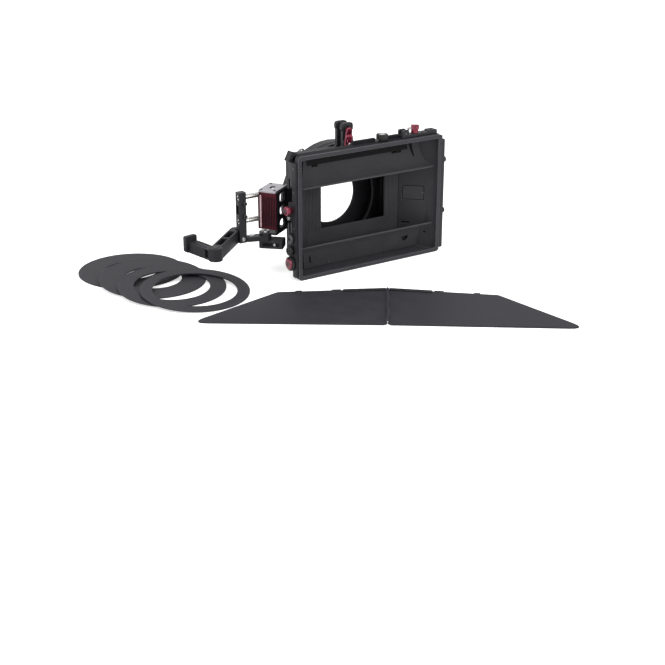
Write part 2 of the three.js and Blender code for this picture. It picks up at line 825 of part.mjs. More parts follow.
function makePerforatedPlate() {
  const plate = block(
    [-halfLength + hingeWall + fit, halfLength],
    [-halfWidth, -halfWidth + hingeWall],
    wallSpan,
  );
  const height = wallSpan[1] - wallSpan[0];
  const holes = [...Array(plateHoles).keys()].map((i) => {
    const middle = wallSpan[0] + (height * (2 * i + 1)) / (2 * plateHoles);
    const reach = height / (2 * plateHoles) - hingeWall;
    return extruded(
      softRect([-hingeLength / 6, hingeLength / 4], [middle - reach, middle + reach], reach - fit),
      [-halfWidth - overrun, overrun - halfWidth + hingeWall],
      "y",
    );
  });
  return cut(plate, ...holes);
}
piece("perforated_plate", makePerforatedPlate(), "anodised", hinge);

piece(
  "red_face_plate",
  block([-halfLength, -halfLength + hingeWall], plateY, [wallSpan[0] + eyeRadius / 2, wallSpan[1]]),
  "red",
  hinge,
);

// Web that carries the hinge block on the side of the filter stages
const webSpan = [wallSpan[0] + hingeWall, wallSpan[1] - hingeWall];

function makeHingeWeb() {
  const along = new THREE.Vector2(1, 0).rotateAround(new THREE.Vector2(), hingeTurn);
  const across = new THREE.Vector2(0, 1).rotateAround(new THREE.Vector2(), hingeTurn);
  const corner = hingeCentre
    .clone()
    .add(along.clone().multiplyScalar(halfLength + fit))
    .add(across.clone().multiplyScalar(-halfWidth));
  const inner = corner.clone().add(across.clone().multiplyScalar(webDepth));
  const face = -fit;
  const plan = new THREE.Shape([
    corner,
    new THREE.Vector2(face, corner.y),
    new THREE.Vector2(face, inner.y),
    inner,
  ]);
  return extruded(plan, webSpan, "z");
}
piece("hinge_web", makeHingeWeb(), "anodised", bracket);

// Pivot pin with its flat head over the base plate
const pinBottom = lockBoxBottom + hingeWall;

function makePivotPin() {
  const pin = drum(pivotRadius, [pinBottom, hingeBottom + hingeWall + 2 * fit], "z", [pivot.x, pivot.y]);
  const head = drum(
    eyeRadius - hingeWall,
    [hingeBottom + hingeWall + fit, hingeBottom + 2 * hingeWall],
    "z",
    [pivot.x, pivot.y],
  );
  return join(pin, head);
}
piece("pivot_pin", makePivotPin(), "steel", bracket);

// Swing arm: the link with the eye, the lock box below it, the post and its two rods
const linkTop = hingeBottom - fit;
const linkBottom = postZ[0];

function makeLink() {
  const eye = drum(eyeRadius, [linkBottom, linkTop], "z", [pivot.x, pivot.y]);
  const bar = extruded(
    softOutline([
      [postX[1] + fit, postY[0]],
      [pivot.x, pivot.y - eyeRadius],
      [pivot.x + eyeRadius / 2, pivot.y],
      [pivot.x, pivot.y + eyeRadius],
      [postX[1] + fit, postY[1]],
    ], fit),
    [linkBottom, linkTop],
    "z",
  );
  const hole = drum(
    pivotRadius + turnFit,
    [linkBottom - overrun, linkTop + overrun],
    "z",
    [pivot.x, pivot.y],
  );
  return cut(join(eye, bar), hole);
}
piece("swing_link", makeLink(), "anodised", bracket);

const lockBoxTop = linkBottom - fit;
const lockBox = new THREE.Group();
lockBox.position.set(lockBoxCentre.x, lockBoxCentre.y, 0);
lockBox.rotation.z = lockBoxTurn;
bracket.add(lockBox);

function makeLockBox() {
  const body = extruded(
    softRect([-lockBoxLength / 2, lockBoxLength / 2], [-lockBoxWidth / 2, lockBoxWidth / 2], hingeWall / 2),
    [lockBoxBottom, lockBoxTop],
    "z",
  );
  const place = pivot.clone().sub(lockBoxCentre).rotateAround(new THREE.Vector2(), -lockBoxTurn);
  const hole = drum(
    pivotRadius + turnFit,
    [pinBottom - turnFit, lockBoxTop + overrun],
    "z",
    [place.x, place.y],
  );
  return cut(body, hole);
}
piece("swing_lock_box", makeLockBox(), "anodised", lockBox);

// Post: both rods pass through it, and a screw in its front clamps each of them
const postMiddle = (postY[0] + postY[1]) / 2;

function makePost() {
  const body = extruded(softRect(postX, postY, hingeWall / 2), postZ, "z");
  const bores = rodHeights.map((z) =>
    drum(rodRadius + fit, [postX[0] - overrun, postX[1] + overrun], "x", [postMiddle, z]),
  );
  const middle = (rodHeights[0] + rodHeights[1]) / 2;
  const reach = rodScrewShift - hingeWall / 2;
  const pocket = extruded(
    softRect(
      [postY[0] + hingeWall / 2, postY[1] - hingeWall / 2],
      [middle - reach, middle + reach],
      hingeWall / 2,
    ),
    [postX[0] - overrun, postX[0] + postPocket],
    "x",
  );
  return cut(body, ...bores, pocket);
}
piece("rod_post", makePost(), "anodised", bracket);

const hingeCorner = new THREE.Vector2(-halfLength, halfWidth).rotateAround(new THREE.Vector2(), hingeTurn);
const rodSpan = [postX[0] + rodSink, hingeCentre.x + hingeCorner.x - fit];
rodHeights.forEach((z, i) => {
  const place = i === 0 ? "lower" : "upper";
  const screwHeight = i === 0 ? z + rodScrewShift : z - rodScrewShift;
  const screwPlace = [postX[1] - rodScrewRadius - fit, screwHeight];
  const seat = postY[0] - fit;
  const screw = drum(rodScrewRadius, [seat - rodScrewReach, seat], "y", screwPlace);
  piece(`${place}_rod`, drum(rodRadius, rodSpan, "x", [postMiddle, z]), "steel", bracket);
  piece(`${place}_rod_screw`, screw, "anodised", bracket);
});

// Arm: an L of two legs, the long one a deep channel with a rib, the short one slotted
function legOutline(from, to, width) {
  const along = to.clone().sub(from).normalize();
  const side = new THREE.Vector2(-along.y, along.x).multiplyScalar(width / 2);
  return new THREE.Shape([
    from.clone().sub(side),
    to.clone().sub(side),
    to.clone().add(side),
    from.clone().add(side),
  ]);
}

// Stretch of a leg between two shares of its length, moved sideways
function stretch(from, to, shares, shift) {
  const along = to.clone().sub(from);
  const side = new THREE.Vector2(-along.y, along.x).setLength(1).multiplyScalar(shift);
  return shares.map((share) => from.clone().add(along.clone().multiplyScalar(share)).add(side));
}

function makeArm() {
  const tailTop = armTop - tailDrop;
  const long = extruded(legOutline(armKnee, armHead, armWidth), [armBottom, armTop], "z");
  const head = drum(armWidth / 2, [armBottom, armTop], "z", [armHead.x, armHead.y]);
  const knee = drum(kneeRadius, [armBottom, armTop], "z", [armKnee.x, armKnee.y]);
  const short = extruded(legOutline(armKnee, armTail, tailWidth), [armBottom, tailTop], "z");
  const postSide = block(
    [postX[0] - fit, postX[1] + armWidth],
    [armKnee.y, postY[1] + fit],
    [armBottom - overrun, armTop + overrun],
  );
  const pockets = armPocketShares.map((shares) => {
    const ends = stretch(armKnee, armHead, shares, 0);
    return extruded(legOutline(...ends, armWidth - 2 * armWall), [armBottom + armWall, armTop + overrun], "z");
  });
  const slots = [-1, 1].map((side) => {
    const ends = stretch(armKnee, armTail, tailSlotShares, (side * tailWidth) / 4);
    return extruded(legOutline(...ends, tailSlotWidth), [tailTop - armWall, tailTop + overrun], "z");
  });
  const sidePocket = extruded(
    legOutline(...stretch(armKnee, armTail, tailPocketShares, tailWidth / 2), tailWidth / 2),
    [armBottom + armWall, tailTop - armWall / 2],
    "z",
  );
  return cut(join(long, head, short, knee), postSide, ...pockets, ...slots, sidePocket);
}
piece("bracket_arm", makeArm(), "anodised", bracket);

// Hook: a plate that stands up across the end of the short leg
const tailEnd = new THREE.Group();
tailEnd.position.set(armTail.x, armTail.y, 0);
tailEnd.rotation.z = Math.atan2(armKnee.x - armTail.x, armTail.y - armKnee.y);
bracket.add(tailEnd);

function makeHook() {
  const [left, right] = [-hookWidth / 2 - hookShift, hookWidth / 2 - hookShift];
  const outline = softOutline([
    [left, armBottom, hookCorner],
    [right, armBottom],
    [right, hookTop],
    [left, hookTop],
  ], hoodWall);
  return extruded(outline, [fit, fit + hookWall], "y");
}
piece("arm_hook", makeHook(), "anodised", tailEnd);

// Flag: two halves that fold on a pinned hinge, each with a bar along its straight edge
const flag = new THREE.Group();
flag.position.set(flagPlace.x, flagPlace.y, 0);
flag.rotation.z = flagTurn;
matteBox.add(flag);
const flagAxis = flagWall + knuckleRadius;
const flagSlope = (flagDepth / 2 - flagEndDepth) / flagShortHalf;

// Flat outline of one half, mirrored for the left one
function flagSheet(outline, side) {
  const points = outline.map(([x, y, radius]) => [side * x, y, radius ?? 0]);
  if (side < 0) points.reverse();
  return extruded(softOutline(points, 0), [0, flagWall], "z");
}

function makeFlagHalf(side) {
  const near = -flagDepth / 2;
  const seam = (fit + flagPinRadius) / 2;
  const outline = [
    [flagNotch, near],
    [flagLongHalf, near - flagSweep, flagTip],
    [flagShortHalf, flagEndDepth, hoodCorner / 2],
    [seam, flagDepth / 2],
    [seam, near + flagNotch],
  ];
  const sheet = flagSheet(outline, side);
  const edgeAt = (x, reach) => [x, flagDepth / 2 - flagSlope * x + reach];
  const tabs = tabShares.map((shares) => {
    const [from, to] = shares.map((share) => share * flagShortHalf);
    const corners = [[from, tabReach], [from, -tabReach], [to, -tabReach], [to, tabReach]];
    return flagSheet(corners.map((corner) => edgeAt(...corner)), side);
  });
  const knuckles = [];
  const gaps = [];
  const pitch = (flagDepth - barDepth) / knuckleCount;
  for (let i = 0; i < knuckleCount; i++) {
    const span = [near + barDepth / 2 + i * pitch + fit, near + barDepth / 2 + (i + 1) * pitch - fit];
    const mine = (i % 2 === 0) === (side < 0);
    const knuckle = tube(knuckleRadius, flagPinRadius + fit, span, "y", [0, flagAxis], pinFacets);
    if (mine) {
      const web = block(
        side < 0 ? [-knuckleRadius - seam, -flagPinRadius - fit] : [flagPinRadius + fit, knuckleRadius + seam],
        span,
        [flagWall / 2, flagAxis],
      );
      knuckles.push(knuckle, web);
    } else {
      gaps.push(drum(knuckleRadius + fit, [span[0] - fit, span[1] + fit], "y", [0, flagAxis], pinFacets));
    }
  }
  return cut(join(sheet, ...tabs, ...knuckles), ...gaps);
}
piece("flag_left", makeFlagHalf(-1), "sheet", flag);
piece("flag_right", makeFlagHalf(1), "sheet", flag);
piece(
  "flag_hinge_pin",
  drum(
    flagPinRadius,
    [-flagDepth / 2 + barDepth / 2, flagDepth / 2 - barDepth / 2],
    "y",
    [0, flagAxis],
    pinFacets,
  ),
  "steel",
  flag,
);

// Bars on the straight edge of the flag, which slot into the hood's bracket
function makeFlagBar(side) {
  const inset = knuckleRadius + 2 * fit;
  const top = flagDepth / 2 - fit;
  const points = [
    [inset, top - barDepth - flagSlope * inset],
    [barHalf, top - barDepth - flagSlope * barHalf],
    [barHalf, top - flagSlope * barHalf],
    [inset, top - flagSlope * inset],
  ].map(([x, y]) => [side * x, y]);
  if (side < 0) points.reverse();
  return extruded(softOutline(points, fit), [flagWall + fit, flagWall + barHeight], "z");
}
piece("flag_bar_left", makeFlagBar(-1), "anodised", flag);
piece("flag_bar_right", makeFlagBar(1), "anodised", flag);

// Step-down rings: the first lies flat, each of the others leans on the one before it
const ringSteps = ringStepShares.map((share) => new THREE.Vector2(...share).multiplyScalar(ringRadius));
const ringSum = ringSteps.reduce((sum, step) => sum.add(step), new THREE.Vector2());
const ringLine = ringSum.clone().normalize();
const flagCorner = new THREE.Vector2(-flagLongHalf, -flagDepth / 2 - flagSweep);
const flagEdge = new THREE.Vector2(-flagShortHalf, flagEndDepth).sub(flagCorner);
const outward = new THREE.Vector2(-flagEdge.y, flagEdge.x).setLength(ringRadius + flagRingGap);
const lastRing = flagCorner.clone().add(flagEdge.clone().multiplyScalar(flagEdgeShare)).add(outward);
const ringPlace = lastRing.rotateAround(new THREE.Vector2(), flagTurn).add(flagPlace).sub(ringSum);
looseBores.forEach((bore, i) => {
  const ring = piece(
    `step_down_ring_${i + 1}`,
    tube(ringRadius, bore, [0, ringWall], "z", [0, 0], fine),
    "sheet",
  );
  let lean = 0;
  if (i > 0) {
    const step = ringSteps[i - 1];
    lean = Math.asin((ringWall + fit) / step.dot(ringLine));
    ringPlace.add(step);
    ring.quaternion.setFromAxisAngle(new THREE.Vector3(-ringLine.y, ringLine.x, 0), lean);
  }
  ring.position.set(ringPlace.x, ringPlace.y, ringRadius * Math.sin(lean));
});

export default matteBox;
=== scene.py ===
import json
from math import cos, pi, radians, sin

import bmesh
import bpy
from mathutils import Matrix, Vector

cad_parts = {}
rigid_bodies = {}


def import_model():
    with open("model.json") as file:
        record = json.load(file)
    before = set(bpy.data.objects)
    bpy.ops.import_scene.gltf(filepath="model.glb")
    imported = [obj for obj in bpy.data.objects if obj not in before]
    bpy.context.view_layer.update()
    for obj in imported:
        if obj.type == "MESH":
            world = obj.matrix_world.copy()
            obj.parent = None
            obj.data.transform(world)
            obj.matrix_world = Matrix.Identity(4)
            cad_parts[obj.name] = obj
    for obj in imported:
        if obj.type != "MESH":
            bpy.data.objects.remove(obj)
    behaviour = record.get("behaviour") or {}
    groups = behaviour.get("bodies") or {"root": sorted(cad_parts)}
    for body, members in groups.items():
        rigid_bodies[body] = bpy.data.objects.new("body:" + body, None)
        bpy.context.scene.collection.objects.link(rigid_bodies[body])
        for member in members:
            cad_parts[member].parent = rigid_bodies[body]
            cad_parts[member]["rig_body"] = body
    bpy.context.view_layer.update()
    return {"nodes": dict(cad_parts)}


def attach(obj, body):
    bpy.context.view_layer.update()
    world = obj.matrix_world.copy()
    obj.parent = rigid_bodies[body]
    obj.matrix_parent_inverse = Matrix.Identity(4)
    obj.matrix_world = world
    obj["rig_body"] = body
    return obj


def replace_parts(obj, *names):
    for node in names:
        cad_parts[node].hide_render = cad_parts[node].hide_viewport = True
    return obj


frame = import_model()

# Studio: a pale floor in front of white, large soft lamps over the box, in front of it and on its left, and
# the camera where the photograph was taken from.
mm = 0.001
camera_azimuth = -33.64
camera_elevation = 22.01
camera_place = Vector((-973.9, -1378.1, 581.3)) * mm
photo_focal_pixels = 1311.6
photo_pixels = 665
sensor_width = 36

camera = bpy.data.objects.new("photo_camera", bpy.data.cameras.new("photo_camera"))
bpy.context.scene.collection.objects.link(camera)
camera.location = camera_place
camera.rotation_euler = (radians(90 - camera_elevation), 0, radians(camera_azimuth))
camera.data.sensor_width = sensor_width
camera.data.lens = sensor_width * photo_focal_pixels / photo_pixels
bpy.context.scene.camera = camera
bpy.context.scene.view_settings.view_transform = "Standard"


def soft_lamp(name, place, target, size, watts):
    """A square area lamp that faces a point."""
    lamp = bpy.data.lights.new(name, "AREA")
    lamp.size = size
    lamp.energy = watts
    holder = bpy.data.objects.new(name, lamp)
    holder.location = place
    holder.rotation_euler = (Vector(target) - Vector(place)).to_track_quat("-Z", "Y").to_euler()
    bpy.context.scene.collection.objects.link(holder)


middle = Vector((-0.05, 0.0, 0.08))
soft_lamp("top_lamp", (-0.3, -0.2, 1.5), middle, size=1.4, watts=16)
soft_lamp("front_lamp", (0.5, -1.7, 0.9), middle, size=1.2, watts=14)
soft_lamp("left_lamp", (-1.6, 0.1, 0.8), middle, size=1.0, watts=9)


def link_node(tree, kind, **values):
    """A shader node with its properties and unlinked inputs set; an underscore stands for a space."""
    made = tree.nodes.new(kind)
    for key, value in values.items():
        name = key.replace("_", " ")
        if name in made.inputs:
            made.inputs[name].default_value = value
        else:
            setattr(made, key, value)
    return made


def background_rays(tree):
    """One where a camera, mirror or glass ray sees the background, and nought for the light that it gives."""
    path = link_node(tree, "ShaderNodeLightPath")
    either = link_node(tree, "ShaderNodeMath", operation="MAXIMUM")
    both = link_node(tree, "ShaderNodeMath", operation="MAXIMUM")
    tree.links.new(path.outputs["Is Camera Ray"], either.inputs[0])
    tree.links.new(path.outputs["Is Glossy Ray"], either.inputs[1])
    tree.links.new(either.outputs[0], both.inputs[0])
    tree.links.new(path.outputs["Is Transmission Ray"], both.inputs[1])
    return both.outputs[0]


world = bpy.data.worlds.new("studio")
bpy.context.scene.world = world
world.use_nodes = True
room_light = 0.55
mix_a, mix_b, mixed = 6, 7, 2  # the colour sockets of a mix node
sky = world.node_tree.nodes["Background"]
sky_colour = link_node(world.node_tree, "ShaderNodeMix", data_type="RGBA")
sky_colour.inputs[mix_a].default_value = (room_light, room_light, room_light, 1)
sky_colour.inputs[mix_b].default_value = (1, 1, 1, 1)
world.node_tree.links.new(background_rays(world.node_tree), sky_colour.inputs[0])
world.node_tree.links.new(sky_colour.outputs[mixed], sky.inputs["Color"])

floor_half = 6
floor_drop = 0.05 * mm  # keeps the floor clear of the pieces that lie on it
floor_shade = 0.86
floor_glow = 0.55
floor_mesh = bpy.data.meshes.new("floor")
floor_mesh.from_pydata(
    [(x * floor_half, y * floor_half, 0) for x, y in ((-1, -1), (1, -1), (1, 1), (-1, 1))], [], [(0, 1, 2, 3)]
)
floor = bpy.data.objects.new("floor", floor_mesh)
floor.location.z = -floor_drop
bpy.context.scene.collection.objects.link(floor)
floor_finish = bpy.data.materials.new("pale_floor")
floor_finish.use_nodes = True
tree = floor_finish.node_tree
tree.nodes.clear()
paint = link_node(tree, "ShaderNodeBsdfDiffuse", Color=(floor_shade, floor_shade, floor_shade, 1))
glow = link_node(tree, "ShaderNodeEmission", Color=(1, 1, 1, 1))
lit = link_node(tree, "ShaderNodeAddShader")
end = link_node(tree, "ShaderNodeOutputMaterial")
level = link_node(tree, "ShaderNodeMath", operation="MULTIPLY")
level.inputs[1].default_value = floor_glow
tree.links.new(background_rays(tree), level.inputs[0])
tree.links.new(level.outputs[0], glow.inputs["Strength"])
tree.links.new(paint.outputs[0], lit.inputs[0])
tree.links.new(glow.outputs[0], lit.inputs[1])
tree.links.new(lit.outputs[0], end.inputs["Surface"])
floor.data.materials.append(floor_finish)

# Hood: one moulded shell of black glass-filled nylon with a fine spark-eroded skin, paler on its edges,
# partly wear and partly a painted highlight. Its rim has a sunk screw in each corner, and its flare has lock
# slots and a blank sunk plate. The top edge has a thin sheet of painted shade laid on it, and a low ridge
# behind it in the same painted shade.
front_y = -9  # the plane of the hood's rim, in millimetres
LEFT, RIGHT, FRONT, BACK, TOP = (-1, 0, 0), (1, 0, 0), (0, -1, 0), (0, 1, 0), (0, 0, 1)


def finish(name, dark, light, roughness, metallic=0.0, specular=0.25, grain=1400, bump=0.25, wear_and_highlight=0.2,
           wear_and_highlight_colour=None, wear_and_highlight_radius=0.4, lay=(1, 1, 1)):
    """A material: two close colours in soft patches, fine grain along a lay, edges paler by wear and painted
    highlight.
    """
    first_turn, full_turn = 0.995, 0.90  # cosines of the turn where the paler edge, wear and painted highlight, starts and is full
    paler_from, paler_times = 0.05, 2.6
    smoother, rougher = 0.07, 0.09
    patch_scale = 40
    grain_depth = 0.05 * mm
    material = bpy.data.materials.new(name)
    material.use_nodes = True
    tree = material.node_tree
    shader = tree.nodes["Principled BSDF"]
    shader.inputs["Metallic"].default_value = metallic
    shader.inputs["Specular IOR Level"].default_value = specular
    where = link_node(tree, "ShaderNodeTexCoord")
    patches = link_node(tree, "ShaderNodeTexNoise", Scale=patch_scale, Detail=4)
    tree.links.new(where.outputs["Object"], patches.inputs["Vector"])
    along = link_node(tree, "ShaderNodeVectorMath", operation="MULTIPLY")
    along.inputs[1].default_value = lay
    tree.links.new(where.outputs["Object"], along.inputs[0])
    grains = link_node(tree, "ShaderNodeTexNoise", Scale=grain, Detail=2)
    tree.links.new(along.outputs[0], grains.inputs["Vector"])
    colour = link_node(tree, "ShaderNodeMix", data_type="RGBA")
    colour.inputs[mix_a].default_value = (*dark, 1)
    colour.inputs[mix_b].default_value = (*light, 1)
    tree.links.new(patches.outputs["Fac"], colour.inputs[0])
    soft_edge = link_node(tree, "ShaderNodeBevel", samples=4, Radius=wear_and_highlight_radius * mm)
    here = link_node(tree, "ShaderNodeNewGeometry")
    turn = link_node(tree, "ShaderNodeVectorMath", operation="DOT_PRODUCT")
    tree.links.new(soft_edge.outputs["Normal"], turn.inputs[0])
    tree.links.new(here.outputs["Normal"], turn.inputs[1])
    edge = link_node(tree, "ShaderNodeMapRange", From_Min=first_turn, From_Max=full_turn, To_Min=0,
                     To_Max=wear_and_highlight)
    tree.links.new(turn.outputs["Value"], edge.inputs["Value"])
    wear_and_highlight_mix = link_node(tree, "ShaderNodeMix", data_type="RGBA")
    wear_and_highlight_colour = wear_and_highlight_colour or [min(1, paler_from + paler_times * part) for part in light]
    wear_and_highlight_mix.inputs[mix_b].default_value = (*wear_and_highlight_colour, 1)
    tree.links.new(edge.outputs["Result"], wear_and_highlight_mix.inputs[0])
    tree.links.new(colour.outputs[mixed], wear_and_highlight_mix.inputs[mix_a])
    tree.links.new(wear_and_highlight_mix.outputs[mixed], shader.inputs["Base Color"])
    shine = link_node(tree, "ShaderNodeMapRange", To_Min=roughness - smoother, To_Max=roughness + rougher)
    tree.links.new(patches.outputs["Fac"], shine.inputs["Value"])
    tree.links.new(shine.outputs["Result"], shader.inputs["Roughness"])
    relief = link_node(tree, "ShaderNodeBump", Strength=bump, Distance=grain_depth)
    tree.links.new(grains.outputs["Fac"], relief.inputs["Height"])
    tree.links.new(relief.outputs["Normal"], shader.inputs["Normal"])
    return material


def closed(points, faces):
    """A closed mesh from points in millimetres, its faces turned outwards."""
    mesh = bpy.data.meshes.new("closed")
    mesh.from_pydata([Vector(point) * mm for point in points], [], faces)
    shape = bmesh.new()
    shape.from_mesh(mesh)
    bmesh.ops.recalc_face_normals(shape, faces=shape.faces)
    shape.to_mesh(mesh)
    shape.free()
    return mesh


def soft_rect(half_wide, half_high, radius, steps=4):
    """Outline of a rectangle with round corners."""
    outline = []
    for corner, (sx, sy) in enumerate(((1, 1), (-1, 1), (-1, -1), (1, -1))):
        for step in range(steps + 1):
            angle = (corner + step / steps) * pi / 2
            across = sx * (half_wide - radius) + radius * cos(angle)
            along = sy * (half_high - radius) + radius * sin(angle)
            outline.append((across, along))
    return outline


def slab(outline, span, origin, out, up=(0, 0, 1)):
    """A flat outline, drawn across a face that looks along out, with a thickness between two depths."""
    out, up, origin = Vector(out).normalized(), Vector(up).normalized(), Vector(origin)
    across = up.cross(out)
    count = len(outline)
    points = [origin + across * u + up * v + out * depth for depth in span for u, v in outline]
    faces = [tuple(range(count)), tuple(range(2 * count - 1, count - 1, -1))]
    faces += [(i, (i + 1) % count, (i + 1) % count + count, i + count) for i in range(count)]
    return closed(points, faces)


def turned(rings, place, axis, steps=24, bored=False):
    """A form of revolution through (height, radius) rings, seat first; a third value makes flat sides."""
    turn = Vector(axis).to_track_quat("Z", "Y")
    points = []
    for height, radius, *sides in rings:
        for step in range(steps):
            angle = 2 * pi * step / steps
            reach = radius
            if sides:
                part = pi / sides[0]
                reach = radius * cos(part) / cos(angle % (2 * part) - part)
            points.append(Vector(place) + turn @ Vector((reach * cos(angle), reach * sin(angle), height)))
    last = (len(rings) - 1) * steps
    faces = []
    for first in range(0, last + steps if bored else last, steps):
        over = (first + steps) % (last + steps)
        for i in range(steps):
            after = (i + 1) % steps
            faces.append((first + i, first + after, over + after, over + i))
    if not bored:
        faces += [tuple(range(steps - 1, -1, -1)), tuple(range(last, last + steps))]
    return closed(points, faces)


def joined(meshes):
    """Several meshes as one."""
    shape = bmesh.new()
    for part in meshes:
        shape.from_mesh(part)
    mesh = bpy.data.meshes.new("joined")
    shape.to_mesh(mesh)
    shape.free()
    return mesh


def carved(mesh, cutters):
    """A closed mesh less closed cutters; the cut faces take its second material."""
    whole = bpy.data.objects.new("whole", mesh)
    tool = bpy.data.objects.new("tool", joined(cutters))
    for face in tool.data.polygons:
        face.material_index = 1
    for item in (whole, tool):
        bpy.context.scene.collection.objects.link(item)
    difference = whole.modifiers.new("difference", "BOOLEAN")
    difference.object = tool
    difference.solver = "EXACT"
    left = bpy.data.meshes.new_from_object(whole.evaluated_get(bpy.context.evaluated_depsgraph_get()))
    for item in (whole, tool):
        bpy.data.objects.remove(item)
    return left


weld_distance = 1e-6
flat_angle = radians(0.6)


def show(name, mesh, body, edge, segments, crease, flats=True):
    """An object with broken edges that rides on a body; flats merges its flat faces."""
    shape = bmesh.new()
    shape.from_mesh(mesh)
    bmesh.ops.remove_doubles(shape, verts=shape.verts, dist=weld_distance)
    if flats:
        bmesh.ops.dissolve_limit(
            shape, angle_limit=flat_angle, verts=shape.verts, edges=shape.edges, delimit={"MATERIAL"}
        )
    shape.to_mesh(mesh)
    shape.free()
    mesh.shade_smooth()
    mesh.set_sharp_from_angle(angle=radians(crease))
    made = bpy.data.objects.new(name, mesh)
    bpy.context.scene.collection.objects.link(made)
    if edge:
        bevel = made.modifiers.new("broken_edge", "BEVEL")
        bevel.width = edge * mm
        bevel.segments = segments
        bevel.limit_method = "ANGLE"
        bevel.angle_limit = radians(crease)
        bevel.use_clamp_overlap = False
        bevel.harden_normals = True
    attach(made, body)
    return made


# Painted shade: faces cut into sockets, pockets, slots and grooves are painted near black for the shade that
# falls in them; the same colour makes the painted shadow strips on the upper baffle.
painted_shade_black = finish("painted_shade_black", (0.004, 0.004, 0.0045), (0.009, 0.009, 0.010), 0.7, specular=0.12,
                      grain=2000, wear_and_highlight=0.05)


def skin(node, material, edge=0.35, crease=30, cuts=(), second=painted_shade_black, where=None,
         flats=True):
    """The finished surface of a piece: its own form, cut and with broken edges, in one or two materials; cut
    faces take the second, by default the near-black painted shade.
    """
    cad = frame["nodes"][node]
    mesh = cad.data.copy()
    mesh.materials.clear()
    mesh.materials.append(material)
    if cuts or where:
        mesh.materials.append(second)
    if cuts:
        shape = bmesh.new()
        shape.from_mesh(mesh)
        bmesh.ops.remove_doubles(shape, verts=shape.verts, dist=weld_distance)
        shape.to_mesh(mesh)
        shape.free()
        mesh = carved(mesh, cuts)
    if where:
        for face in mesh.polygons:
            face.material_index = int(where(face.center / mm))
    made = show(node + "_skin", mesh, cad["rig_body"], edge, segments=2, crease=crease, flats=flats)
    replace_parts(made, node)


def detail(name, meshes, material, host, edge=0.0, crease=30):
    """Small parts that are fixed to a piece and move with it."""
    mesh = joined(meshes)
    mesh.materials.append(material)
    show(name, mesh, frame["nodes"][host]["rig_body"], edge, segments=1, crease=crease)


def cap_screw(place, axis, radius, height):
    """Head of a screw with a six-sided socket, its seat sunk a little."""
    seat = -0.4
    chamfer = 0.16 * radius
    key = 0.56 * radius
    key_floor = 0.25 * height
    key_sides = 6
    return turned([
        (seat, radius), (height - chamfer, radius), (height, radius - chamfer), (height, key, key_sides),
        (key_floor, key, key_sides),
    ], place, axis)


moulded = finish("moulded_black", (0.027, 0.0258, 0.0295), (0.048, 0.046, 0.0525), 0.6, specular=0.2,
                 grain=2200, bump=0.3, wear_and_highlight=0.75, wear_and_highlight_colour=(0.17, 0.163, 0.18), wear_and_highlight_radius=0.9)
# Painted shade: a darker, duller colour that darkens the hood's top edge and its ridges.
top_painted_shade = finish("top_painted_shade", (0.011, 0.0105, 0.012), (0.022, 0.021, 0.024), 0.75, specular=0.06,
                  grain=2200, bump=0.3, wear_and_highlight=0.6, wear_and_highlight_colour=(0.15, 0.145, 0.16), wear_and_highlight_radius=0.7)
dark_steel = finish("blackened_steel", (0.05, 0.05, 0.055), (0.09, 0.09, 0.095), 0.38, metallic=0.8,
                    grain=3000, bump=0.1, wear_and_highlight=0.4)
overrun = 1  # how far a cutter stands out of the face that it cuts
rim_inside = 112.6  # half the width inside the rim
rim_depth = 7
flare_narrows = 37.6  # on each side
flare_depth = 36
flare_in = Vector((0.6916, 0.7223, 0))  # into the right wall of the flare
flare_along = Vector((-0.7223, 0.6916, 0))
mirrored = Vector((-1, 1, 1))


def right_flare(share, z):
    """Point on the right wall of the flare, a share of the way from the rim to the matte."""
    return Vector((rim_inside - flare_narrows * share, front_y + rim_depth + flare_depth * share, z))


def left_flare(share, z):
    """The same on the left wall."""
    return right_flare(share, z) * mirrored


def round_cut(place, axis, radius, depth):
    """Cutter for a round hole."""
    return turned([(-depth, radius), (overrun, radius)], place, axis)


rim_pocket = 1.2  # depth
rim_screws = [(x, front_y, z) for x in (-112.25, 112.25) for z in (9.5, 152)]
rim_pockets = [round_cut(place, FRONT, radius=1.75, depth=rim_pocket) for place in rim_screws]
plate_middle = right_flare(0.604, 81.3)
plate_half_wide, plate_half_high = 14.6, 9.4
plate_room = 0.8  # between the plate and the wall of its recess
plate_outline = soft_rect(plate_half_wide, plate_half_high, 1.6)
recess_outline = soft_rect(plate_half_wide + plate_room, plate_half_high + plate_room, 2)
plate_recess = slab(recess_outline, (-0.7, overrun), plate_middle, -flare_in)
flare_hole = round_cut(right_flare(0.282, 26), -flare_in, radius=1.6, depth=1.2)
slot_depth = 1
flare_notch = slab(soft_rect(6.5, 1.1, 1), (-slot_depth, overrun), right_flare(0.8, 38.3), -flare_in)
foot_slope = (0.32, -0.307, 0.9)
foot_slot = slab(soft_rect(5.5, 0.8, 0.7), (-slot_depth, overrun), right_flare(0.73, 15.2), -flare_in,
                 up=foot_slope)
left_slots = [
    slab(soft_rect(0.9, half_long, 0.8), (-1.1, overrun), left_flare(share, z), -flare_in * mirrored)
    for half_long, share, z in ((5, 0.5, 90.4), (15, 0.83, 82))
]
skin("hood_shell", moulded, edge=0.5,
     cuts=[*rim_pockets, plate_recess, flare_hole, flare_notch, foot_slot, *left_slots])
hood_top = 166
